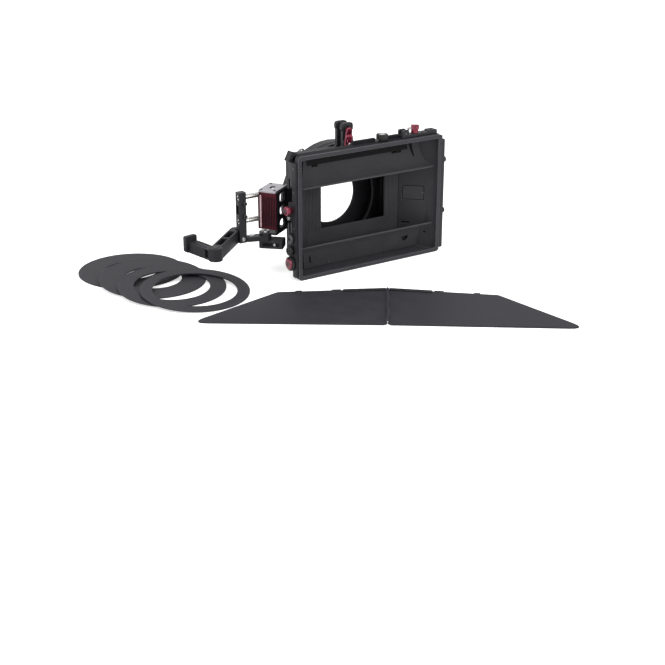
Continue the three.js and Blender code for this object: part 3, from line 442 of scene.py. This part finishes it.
# Painted shade: a thin sheet laid over the hood's top edge to darken it.
top_shade_sheet = slab(soft_rect(rim_inside, 6.8, 1), (-0.1, 0.08), (0, front_y + 9.6, hood_top), TOP, up=BACK)
detail("hood_top_painted_shade", [top_shade_sheet], top_painted_shade, "hood_shell")
ridge_high = 5.3
ridge_shoulder = 4.7
ridge_slope = 0.6
ridge_seat = (0, front_y + 15.4, hood_top - 0.1)
detail("hood_top_ridge", [
    slab([(left, 0), (right, 0), (right, ridge_shoulder), (right - ridge_slope, ridge_high),
          (left + ridge_slope, ridge_high), (left, ridge_shoulder)], (-2, 2), ridge_seat, FRONT)
    for left, right in ((-22, 14), (32.8, 52.6))
], top_painted_shade, "hood_shell", edge=0.3)
detail("hood_rim_screws", [cap_screw((x, y + rim_pocket, z), FRONT, radius=1.3, height=0.8)
                           for x, y, z in rim_screws],
       dark_steel, "hood_shell")
blank_black = finish("blank_plate", (0.012, 0.012, 0.014), (0.022, 0.022, 0.026), 0.36, specular=0.4,
                     grain=900, bump=0.08, wear_and_highlight=0.5)
plate_face = 0.1  # below the wall of the flare
detail("hood_blank_plate", [slab(plate_outline, (-0.9, -plate_face), plate_middle, -flare_in)],
       blank_black, "hood_shell", edge=0.25)
rivet_reach = 12.6
plate_ends = [plate_middle + flare_along * side * rivet_reach - flare_in * plate_face for side in (-1, 1)]
rivet_head = [(-0.3, 1.1), (0.1, 1.1), (0.4, 0.7), (0.45, 0.2)]
detail("hood_plate_rivets", [turned(rivet_head, place, -flare_in, 12) for place in plate_ends],
       dark_steel, "hood_shell")

# Picture matte: a pressed plate, flocked dead black, that slides in front of the hood's back flange. Fine
# upright ribs beside its opening break up stray light, and a low screw holds each corner.
flocked = finish("dead_black", (0.036, 0.0348, 0.0378), (0.062, 0.060, 0.0648), 0.8, specular=0.15,
                 grain=3000, bump=0.5, wear_and_highlight=0.25)
matte_y = front_y + 43.3
skin("picture_matte", flocked, edge=0.3)
opening_z = 81
first_rib = 54.6
rib_pitch = 2.2
ribs_a_side = 9
rib_outline = soft_rect(0.4, 34, 0.3, steps=2)
detail("matte_ribs", [
    slab(rib_outline, (-0.3, 0.45), (side * (first_rib + step * rib_pitch), matte_y, opening_z), FRONT)
    for side in (-1, 1) for step in range(ribs_a_side)
], flocked, "picture_matte")
small_head = 1.7, 0.8  # radius and height
detail("matte_screws", [cap_screw((x, matte_y, z), FRONT, *small_head) for x in (-69, 69) for z in (20, 138)],
       dark_steel, "picture_matte")

# Baffles: two scoops pressed from black sheet. Each has a rolled bead along its lip, slots near its ends and
# two screws in its foot that hold it to the hood. Thin near-black strips on the upper one under the hood's
# top are a painted shadow.
baffle_black = finish("baffle_black", (0.029, 0.0278, 0.0305), (0.050, 0.0482, 0.0525), 0.66, specular=0.2,
                      grain=2600, bump=0.35, wear_and_highlight=0.25)
bead_black = finish("bead_black", (0.035, 0.0345, 0.038), (0.06, 0.059, 0.064), 0.5, specular=0.3, grain=2600,
                    bump=0.1)
lip_y = front_y + 5.1
through = (-4, 4)
far_through = (-6, 6)
scoop_slots = {
    "upper_baffle": [
        slab(soft_rect(4.8, 1.2, 1.1), through, (-76.5, front_y + 22, 145), FRONT),
        slab(soft_rect(8, 1.4, 1.3), through, (54.5, front_y + 21, 145.2), FRONT),
        slab([(-3.5, 10.6), (2.6, 10.4), (5.6, -10.5), (4, -10.5)], far_through,
             (77.5, front_y + 20, 146.4), FRONT),
    ],
    "lower_baffle": [
        slab([(-2.6, 5.5), (-0.4, 3.5), (1.6, -5.5), (-1.6, -4)], far_through,
             (-84, front_y + 21, 19), FRONT),
        slab([(-6.5, 2.6), (4.5, 3.6), (3.2, -2.6), (-3, -4.2)], far_through, (72, front_y + 21, 21), FRONT),
    ],
}
# Painted shadow: thin near-black strips on the upper baffle where the hood's top shades it.
painted_shadow_strips = [
    [(21.96, 146.2), (22.5, 149.2), (22.92, 153), (23.05, 157.2), (22.3, 157.2), (22.1, 153), (21.7, 149.6),
     (21.2, 146.6)],
    [(24.7, 157.7), (17.2, 163.1), (16.9, 162.7), (24.4, 157.2)],
]
painted_shadow_ends = -88, 73
bead_half = 102.5
foot_y = front_y + 23
for name, lip_z, foot_z in (("upper_baffle", 121.2, 153.5), ("lower_baffle", 42.2, 9.5)):
    skin(name, baffle_black, edge=0.3, crease=40, cuts=scoop_slots[name])
    if name == "upper_baffle":
        detail("upper_baffle_painted_shadow", [slab([(front_y + y, z) for y, z in strip], painted_shadow_ends, (0, 0, 0), RIGHT)
                                     for strip in painted_shadow_strips], painted_shade_black, name, crease=50)
    bead = slab(soft_rect(0.6, 0.6, 0.55, steps=3), (-bead_half, bead_half), (0, lip_y, lip_z), RIGHT)
    detail(name + "_bead", [bead], bead_black, name)
    detail(name + "_screws", [cap_screw((x, foot_y, foot_z), FRONT, *small_head) for x in (-54, 32)],
           dark_steel, name)

# Filter stages: two frames milled from aluminium and anodised black, with a slim groove along each side. Two
# screws in each top hold the guides of the tray, and two more sit in each right side.
anodised = finish("black_anodised", (0.013, 0.0125, 0.015), (0.028, 0.027, 0.032), 0.46, metallic=0.2,
                  specular=0.28, grain=5200, bump=0.12, wear_and_highlight=0.35, wear_and_highlight_colour=(0.16, 0.16, 0.175))
stage_side, stage_top = 84, 150
groove_z = 78
groove_outline = soft_rect(1.8, 40, 1.7)
for name, middle_y, left_groove_y in (("front_stage", 47.45, 45.6), ("rear_stage", 61.45, 62.9)):
    grooves = [
        slab(groove_outline, (-0.9, overrun), (side * stage_side, groove_y, groove_z), (side, 0, 0))
        for side, groove_y in ((-1, left_groove_y), (1, middle_y))
    ]
    skin(name, anodised, edge=0.4, cuts=grooves, flats=False)
    top_screws = [cap_screw((x, middle_y, stage_top), TOP, radius=1.8, height=1.0) for x in (-79.6, 79.6)]
    side_screws = [cap_screw((stage_side, middle_y, z), RIGHT, radius=1.9, height=1.0) for z in (26, 130)]
    detail(name + "_screws", top_screws + side_screws, dark_steel, name)

# Filter trays: thin frames cut from aluminium, anodised black, that drop into the stages. Each has a
# round-headed pull with grip ridges and a pin hole, so that a gloved finger can lift it.
pull_x = -3
pin_hole_z = 180.5
pin_hole = soft_rect(1.5, 1.5, 1.45)
grip_ridge = soft_rect(6.2, 0.45, 0.4, steps=2)
for name, tray_front in (("front_tray", 44.75), ("rear_tray", 58.75)):
    hole = slab(pin_hole, (-8, 2), (pull_x, tray_front, pin_hole_z), FRONT)
    skin(name, anodised, edge=0.4, cuts=[hole], flats=False)
    detail(name + "_ridges", [
        slab(grip_ridge, (-0.3, 0.35), (pull_x, tray_front, z), FRONT) for z in (166.5, 168.7, 170.9, 173.1)
    ], anodised, name)

# Rear plate and ring housing: the milled plate closes the stages with four screws. The round housing is
# turned from aluminium with two grooves round its wall, and five screws hold it to the plate.
axis_z = 75.5
plate_back, housing_back = 72, 98.3
skin("rear_plate", anodised, edge=0.4, flats=False)
detail("rear_plate_screws", [cap_screw((x, plate_back, z), BACK, radius=2.3, height=1.6)
                             for x in (-77, 77) for z in (13, 143)],
       dark_steel, "rear_plate")
groove_wide, groove_floor, past_wall = 1.4, 76, 79
groove_cuts = [
    turned([(0, groove_floor), (0, past_wall), (groove_wide, past_wall), (groove_wide, groove_floor)],
           (0, y, axis_z), BACK, 120, bored=True)
    for y in (77, 81)
]
skin("ring_housing", anodised, edge=0.2, cuts=groove_cuts)
screw_circle = 73.7
detail("housing_screws", [
    cap_screw((screw_circle * cos(angle), housing_back, axis_z + screw_circle * sin(angle)), BACK,
              radius=1.7, height=1.1)
    for angle in map(radians, (30, 90, 150, 210, 330))
], dark_steel, "ring_housing")

# Ring clamp screw: a toothed thumb screw of black anodised aluminium that passes through the housing's wall
# and presses on the ring. A plain steel cap is pressed into its end.
steel = finish("ground_steel", (0.44, 0.43, 0.42), (0.56, 0.55, 0.54), 0.26, metallic=1.0, grain=3000,
               bump=0.08, wear_and_highlight=0.1)
clamp_turn = radians(125)
clamp_out = Vector((cos(clamp_turn), 0, sin(clamp_turn)))
clamp_end = 83.6  # from the housing's axis
skin("ring_clamp_screw", anodised, edge=0.2)
cap_place = Vector((0, 92.1, axis_z)) + clamp_out * clamp_end
detail("clamp_screw_cap", [cap_screw(cap_place, clamp_out, radius=3.2, height=0.7)],
       steel, "ring_clamp_screw")

# Fitted ring: a step-down ring turned from aluminium and blackened, with a fine thread groove at its bore
# and a groove near its rim. It lies on a shoulder in the housing.
ring_black = finish("ring_black", (0.017, 0.0166, 0.0202), (0.030, 0.029, 0.0345), 0.56, specular=0.2,
                    grain=2600, bump=0.2, wear_and_highlight=0.22, wear_and_highlight_colour=(0.20, 0.20, 0.22))
ring_outer = 70


def turned_ring(node, bore, wall):
    """A flat ring in the place of its CAD solid, with broken corners and shallow grooves on both faces."""
    cad = frame["nodes"][node]
    centre = sum((vertex.co for vertex in cad.data.vertices), Vector()) / len(cad.data.vertices) / mm
    normal = max(cad.data.polygons, key=lambda face: face.area).normal
    from_bore = [(0, 0.35), (0.35, 0), (2.6, 0), (2.8, 0.25), (3.5, 0.25), (3.7, 0)]
    from_rim = [(3.9, 0), (3.7, 0.2), (3.2, 0.2), (3, 0), (0.5, 0), (0, 0.4)]
    face = [(bore + reach, depth) for reach, depth in from_bore]
    face += [(ring_outer - reach, depth) for reach, depth in from_rim]
    half = wall / 2
    rings = [(half - depth, radius) for radius, depth in face]
    rings += [(depth - half, radius) for radius, depth in reversed(face)]
    mesh = turned(rings, centre, normal, 120, bored=True)
    mesh.materials.append(ring_black)
    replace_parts(show(node + "_turned", mesh, cad["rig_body"], edge=0, segments=1, crease=28),
                node)


turned_ring("fitted_ring", bore=39.3, wall=3)

# Right rail: a milled aluminium bar along the hood's right edge, with a cleat at its top, two bosses with
# sockets for accessories and three low screws that hold it.
rail_y = front_y + 6
boss_face, right_face = 125.3, 121.8


def socket(place, axis, radius, depth):
    """Cutter for a six-sided socket."""
    return turned([(-depth, radius, 6), (overrun, radius, 6)], place, axis)


skin("right_rail", anodised, edge=0.4,
     cuts=[socket((boss_face, rail_y, z), RIGHT, radius=1.3, depth=1.6) for z in (57, 129)])
detail("right_rail_screws", [cap_screw((right_face, rail_y, z), RIGHT, radius=1.9, height=0.9)
                             for z in (20, 93, 147)],
       dark_steel, "right_rail")

# Left rail: a thin aluminium bar, anodised dull black and screwed along the hood's left edge. Its two lugs
# reach back and carry the lock knobs.
rail_black = finish("rail_black", (0.010, 0.0098, 0.012), (0.020, 0.0195, 0.023), 0.5, metallic=0.1,
                    specular=0.2, grain=5200, bump=0.12, wear_and_highlight=0.3)
left_face = -118.3
skin("left_rail", rail_black, edge=0.4)
detail("left_rail_screws", [cap_screw((left_face, rail_y, z), LEFT, radius=1.8, height=0.7)
                            for z in (71, 118, 150)],
       dark_steel, "left_rail")

# Lock knobs on the left rail: a toothed red knob, a small steel screw, a low grey disc, a black rubber dome
# and a red knob with a black toothed wheel behind it. All turn on the rail's lugs.
# The pale pink edges of the red parts are partly wear and partly a painted highlight.
red = finish("red_anodised", (0.13, 0.005, 0.020), (0.21, 0.010, 0.034), 0.27, metallic=0.45, specular=0.6,
             grain=4000, bump=0.1, wear_and_highlight=0.6, wear_and_highlight_colour=(0.62, 0.28, 0.36), wear_and_highlight_radius=0.6)
grey = finish("grey_anodised", (0.32, 0.31, 0.34), (0.42, 0.41, 0.44), 0.36, metallic=0.6, specular=0.4,
              grain=4200, bump=0.1, wear_and_highlight=0.4, wear_and_highlight_colour=(0.75, 0.75, 0.78))
dull_grey = finish("dull_grey", (0.06, 0.06, 0.066), (0.10, 0.10, 0.108), 0.42, metallic=0.5, grain=4200,
                   bump=0.1, wear_and_highlight=0.5, wear_and_highlight_colour=(0.45, 0.45, 0.47))
rubber = finish("knob_rubber", (0.010, 0.010, 0.011), (0.020, 0.020, 0.021), 0.62, specular=0.3, grain=1800,
                bump=0.4, wear_and_highlight=0.2)
knob_y = 4
red_face = (-127.6, knob_y, 94)
silver_face = (-123.6, knob_y, 84.5)
grey_face = (-122.1, knob_y, 55.3)
dome_top = (-124.6, knob_y, 39.5)
low_face = Vector((-124.1, knob_y, 22))
skin("red_lock_knob", red, edge=0.2)
detail("red_lock_knob_cap", [cap_screw(red_face, LEFT, radius=2.6, height=0.6)], dark_steel,
       "red_lock_knob")
skin("silver_screw", steel, edge=0.15,
     cuts=[socket(silver_face, LEFT, radius=1.5, depth=2)])
skin("grey_lock_knob", dull_grey, edge=0.2,
     cuts=[socket(grey_face, LEFT, radius=2.3, depth=1.6)])
skin("black_lock_knob", rubber, edge=0.2,
     cuts=[slab(soft_rect(0.5, 3.4, 0.4, steps=2), (-0.9, overrun), dome_top, LEFT)])
red_radius, wheel_hub = 7.7, 6
wheel_front = -122.2


def in_black_wheel(place):
    """Whether a face of the lowest knob belongs to its black toothed wheel."""
    reach = ((place.y - low_face.y) ** 2 + (place.z - low_face.z) ** 2) ** 0.5
    return reach > red_radius or place.x > wheel_front and reach > wheel_hub


skin("red_knurled_knob", red, edge=0.15, second=rubber, where=in_black_wheel)
detail("red_knurled_knob_cap", [cap_screw(low_face, LEFT, radius=3.0, height=0.6)], dark_steel,
       "red_knurled_knob")

# Flag bracket: a channel milled from aluminium on the hood's top edge, which takes the bar of the flag. Two
# screws hold it from above and one from the front.
top_z = 166.3
bracket_y = front_y + 11.5
skin("flag_bracket", anodised, edge=0.4)
detail("flag_bracket_screws", [cap_screw((90, bracket_y, top_z + 4), TOP, radius=1.9, height=1.0),
                               cap_screw((104, bracket_y, top_z + 6), TOP, radius=2.1, height=1.0),
                               cap_screw((58.5, front_y + 6, 172), FRONT, radius=1.5, height=0.7)],
       dark_steel, "flag_bracket")

# Flag clamp lever: a small cam lever milled from aluminium and anodised red, with an eye through it. A
# turned steel handle end is screwed into its left side.
lever_eye = turned([(-6, 1.5), (6, 1.5)], (77.6, bracket_y, 178.6), FRONT)
lever_top = slab([(-9, 7.6), (9, 5.4), (9, 14), (-9, 14)], (-6, 6), (77, bracket_y, 175), FRONT)
skin("flag_clamp_lever", red, edge=0.4, cuts=[lever_eye, lever_top], second=red)
detail("clamp_lever_end", [turned([(-1, 1.2), (3.2, 1.3), (4.4, 1.7), (6.2, 1.7), (6.8, 1.2)],
                                  (72.4, bracket_y, 177.5), LEFT, 16)],
       steel, "flag_clamp_lever")

# Thumb knob: a moulded black rubber grip on a screw in the hood's top edge, with a pale anodised insert
# pressed into its top.
skin("thumb_knob", rubber, edge=0.4)
detail("thumb_knob_insert", [turned([(-0.4, 4.6), (0.15, 4.6), (0.4, 4.3), (0.4, 2), (0.1, 1.8)],
                                    (23.4, bracket_y, top_z + 9.5), TOP)],
       grey, "thumb_knob")

# Corner flag holder: a block milled from aluminium and anodised black, tilted on the hood's top left corner.
# One screw holds it, and a hole in its front takes the pin of a flag.
holder = Vector((-113.3, front_y + 17, 162.2))
tilt = radians(27)
holder_up = Vector((sin(tilt), 0, cos(tilt)))
skin("corner_flag_holder", anodised, edge=0.4,
     cuts=[slab(soft_rect(1.5, 1.5, 1.45), (-1.6, overrun), holder + Vector((0, -5, 0)), FRONT)])
detail("corner_holder_screw", [cap_screw(holder + holder_up * 6.8, holder_up, radius=2.2, height=0.7)],
       dark_steel, "corner_flag_holder")

# Tray lock: a lever milled from aluminium, anodised red and dipped for the finger, that swings in front of
# the pulls. A steel shoulder screw holds it on a black foot on the front stage.
lock_x, lock_z = -5, 158
skin("tray_lock_foot", anodised, edge=0.4)
finger_dip = turned([(-9, 4.6), (9, 4.6)], (lock_x, front_y + 42.2, lock_z + 14), RIGHT, 32)
skin("tray_lock_lever", red, edge=0.35, cuts=[finger_dip], second=red, flats=False)
detail("tray_lock_screw", [cap_screw((lock_x, front_y + 45.65, lock_z), FRONT, radius=2.6, height=0.9)],
       steel, "tray_lock_lever")

# Hinge block of the swing-away bracket: a grey top plate over a black base, joined by a plate with three
# windows and a dark red face plate with milled ribs and a polished edge, whose glint is a painted highlight:
# a pale strip. The web carries it on the stages.
hinge_turn = radians(34.5)
along = Vector((cos(hinge_turn), sin(hinge_turn), 0))
beside = Vector((-sin(hinge_turn), cos(hinge_turn), 0))
hinge_middle = Vector((-116.3, front_y + 61.5, 0))


def on_hinge(u, v, z):
    """Point at lengths along and across the hinge block."""
    return hinge_middle + along * u + beside * v + Vector((0, 0, z))


deep_red = finish("deep_red", (0.046, 0.004, 0.009), (0.080, 0.006, 0.015), 0.36, metallic=0.5, specular=0.3,
                  grain=4000, bump=0.1, wear_and_highlight=0.3, wear_and_highlight_colour=(0.45, 0.12, 0.17))
hinge_top, face_u, face_middle_z = 113.5, -19, 85
skin("hinge_top_plate", grey, edge=0.4)
detail("hinge_top_screws", [cap_screw(on_hinge(u, v, hinge_top), TOP, *small_head)
                            for u in (-15.5, 15.5) for v in (-9.5, 9.5)],
       dark_steel, "hinge_top_plate")
skin("hinge_base_plate", anodised, edge=0.4)
skin("perforated_plate", anodised, edge=0.35)
face_groove = soft_rect(0.55, 20, 0.5, steps=2)
face_grooves = [slab(face_groove, (-0.7, overrun), on_hinge(face_u, v, face_middle_z), -along)
                for v in (-11, -8.7, -6.4, -4.1, -1.8, 0.5, 2.8, 5.1)]
skin("red_face_plate", deep_red, edge=0.3, cuts=face_grooves)
# Painted highlight: a pale strip along the red face plate's polished edge stands for its glint.
painted_edge_highlight = finish("painted_edge_highlight", (0.66, 0.46, 0.50), (0.80, 0.60, 0.64), 0.4, metallic=0.1, specular=0.5,
                     grain=3000, bump=0.08, wear_and_highlight=0.2)
strip_middle = on_hinge(face_u, 8.9, face_middle_z)
edge_strip = slab(soft_rect(1.0, 22, 0.6, steps=3), (-0.4, 0.8), strip_middle, -along)
detail("red_face_painted_highlight", [edge_strip], painted_edge_highlight, "red_face_plate")
skin("hinge_web", anodised, edge=0.35)

# Pivot pin: a steel pin, turned and ground, with a flat socket head. It passes through the base plate, the
# arm's eye and the lock box, and the arm swings away on it.
pin_head = (-133, front_y + 54, 59.8)
skin("pivot_pin", steel, edge=0.2, cuts=[socket(pin_head, TOP, radius=2.4, depth=1.6)])

# Swing link and lock box: both milled from aluminium and anodised black. The link's eye lies between the base
# plate and the lock box, which holds the spring detent. A pale wear pad sits on the link, and a steel screw
# sets the detent.
skin("swing_link", anodised, edge=0.4)
detail("link_pad", [slab(soft_rect(3.6, 3.6, 0.9), (-0.3, 0.8), (-151.5, front_y + 60, 53.5), TOP, up=BACK)],
       grey, "swing_link", edge=0.2)
box_turn = radians(-43.5)
box_along = Vector((cos(box_turn), sin(box_turn), 0))
box_beside = Vector((-sin(box_turn), cos(box_turn), 0))
box_middle = Vector((-124, front_y + 51.8, 41))
box_face = box_middle - box_beside * 10
detent_place = box_middle - box_beside * 9.4 + box_along * 5
skin("swing_lock_box", anodised, edge=0.5,
     cuts=[slab(soft_rect(11, 2.2, 1.2), (-0.6, overrun), box_face, -box_beside)])
detail("lock_box_screw", [cap_screw(detent_place, -box_beside, radius=1.9, height=0.9)],
       steel, "swing_lock_box")

# Post and rods: two polished steel rods pass through a black anodised post, and a screw in its front clamps
# each. The rods' ends have sockets, and a round steel screw sits in the post's foot.
post_y = front_y + 60
skin("rod_post", anodised, edge=0.4)
detail("post_foot_screw", [cap_screw((-165.5, front_y + 55, 52), FRONT, radius=2.6, height=0.9)],
       steel, "rod_post")
detail("post_side_screws", [cap_screw((-160, post_y, z), RIGHT, radius=2.2, height=1.0) for z in (66, 91.5)],
       dark_steel, "rod_post")
rod_steel = finish("rod_steel", (0.50, 0.49, 0.47), (0.62, 0.61, 0.59), 0.2, metallic=1.0, grain=1500,
                   bump=0.1, wear_and_highlight=0.1, lay=(6, 0.4, 0.4))
for name, z, screw_z in (("lower", 75.5, 82.9), ("upper", 107.5, 100.1)):
    skin(name + "_rod", rod_steel, edge=0.25,
         cuts=[socket((-169.8, post_y, z), LEFT, radius=1.7, depth=2.2)])
    skin(name + "_rod_screw", dark_steel, edge=0.25,
         cuts=[socket((-162.9, front_y + 52.2, screw_z), FRONT, radius=1.4, depth=1.5)])

# Arm and hook: an L milled from one aluminium bar, with two deep pockets in its long leg, painted darker for
# the shade in them, and two slots in its short one. A plate is fixed across its end, a screw holds the knee,
# and the edges are paler, partly wear and partly a painted highlight.
arm_black = finish("arm_black", (0.012, 0.0118, 0.014), (0.023, 0.0225, 0.0265), 0.5, metallic=0.1,
                   specular=0.2, grain=5200, bump=0.12, wear_and_highlight=0.45, wear_and_highlight_colour=(0.20, 0.20, 0.22))
# Painted shade: the faces in the arm's pockets take this darker colour for the shade in them.
pocket_painted_shade = finish("arm_pocket_painted_shade", (0.008, 0.008, 0.009), (0.014, 0.014, 0.016), 0.5, specular=0.2, grain=3000,
                  bump=0.2, wear_and_highlight=0.1)
knee = Vector((-229.5, front_y + 14.5, 0))
leg_along = (Vector((-169, front_y + 70, 0)) - knee).normalized()
leg_beside = Vector((-leg_along.y, leg_along.x, 0))
pocket_floor, pocket_top = 48, 63.4
pocket_start = 6  # along the leg from the knee
pocket_half = 4.3


def in_pocket(place):
    """Whether a face belongs to the pockets of the long leg, which are painted darker for painted shade."""
    reach = place - knee
    along_leg, off_middle = reach.dot(leg_along), abs(reach.dot(leg_beside))
    return pocket_floor < place.z < pocket_top and along_leg > pocket_start and off_middle < pocket_half


skin("bracket_arm", arm_black, edge=0.35, second=pocket_painted_shade, where=in_pocket, flats=False)
skin("arm_hook", anodised, edge=0.6)
knee_top = knee + Vector((0, 0, 64))
detail("arm_knee_screw", [cap_screw(knee_top, TOP, radius=3.2, height=1.0)],
       dark_steel, "bracket_arm")

# Flag: two halves of stiff black sheet with a fine leather grain, folding on a pinned knuckle hinge. A bar
# along each half's straight edge slides into the bracket on the hood.
sheet = finish("flag_sheet", (0.017, 0.0166, 0.0202), (0.030, 0.029, 0.0345), 0.6, specular=0.18, grain=2400,
               bump=0.35, wear_and_highlight=0.25, wear_and_highlight_colour=(0.18, 0.18, 0.20))
for name in ("flag_left", "flag_right"):
    skin(name, sheet, edge=0.2, flats=False)
for name in ("flag_bar_left", "flag_bar_right"):
    skin(name, anodised, edge=0.2)
skin("flag_hinge_pin", steel, edge=0.15)
flag_turn = radians(-35.9)
flag_along = Vector((cos(flag_turn), sin(flag_turn), 0))
flag_beside = Vector((-sin(flag_turn), cos(flag_turn), 0))
flag_middle = Vector((-73.5, front_y - 139.5, 3))  # at the height of the bars' tops
bar_reach, bar_slope = 58.4, 0.1273
for side, host in ((-1, "flag_bar_left"), (1, "flag_bar_right")):
    detail(host + "_rivets", [
        turned([(-0.3, 1.5), (0.1, 1.5), (0.2, 1.1), (0.2, 0.3)],
               flag_middle + flag_along * side * u + flag_beside * (bar_reach - bar_slope * u), TOP, 16)
        for u in (12, 32, 52)
    ], dark_steel, host)

# Loose step-down rings: four rings turned from aluminium and blackened like the fitted one, each with a bore
# of its own for another lens. They lie fanned on the floor.
for number, bore in enumerate((36.5, 38, 49, 54), start=1):
    turned_ring(f"step_down_ring_{number}", bore=bore, wall=2)
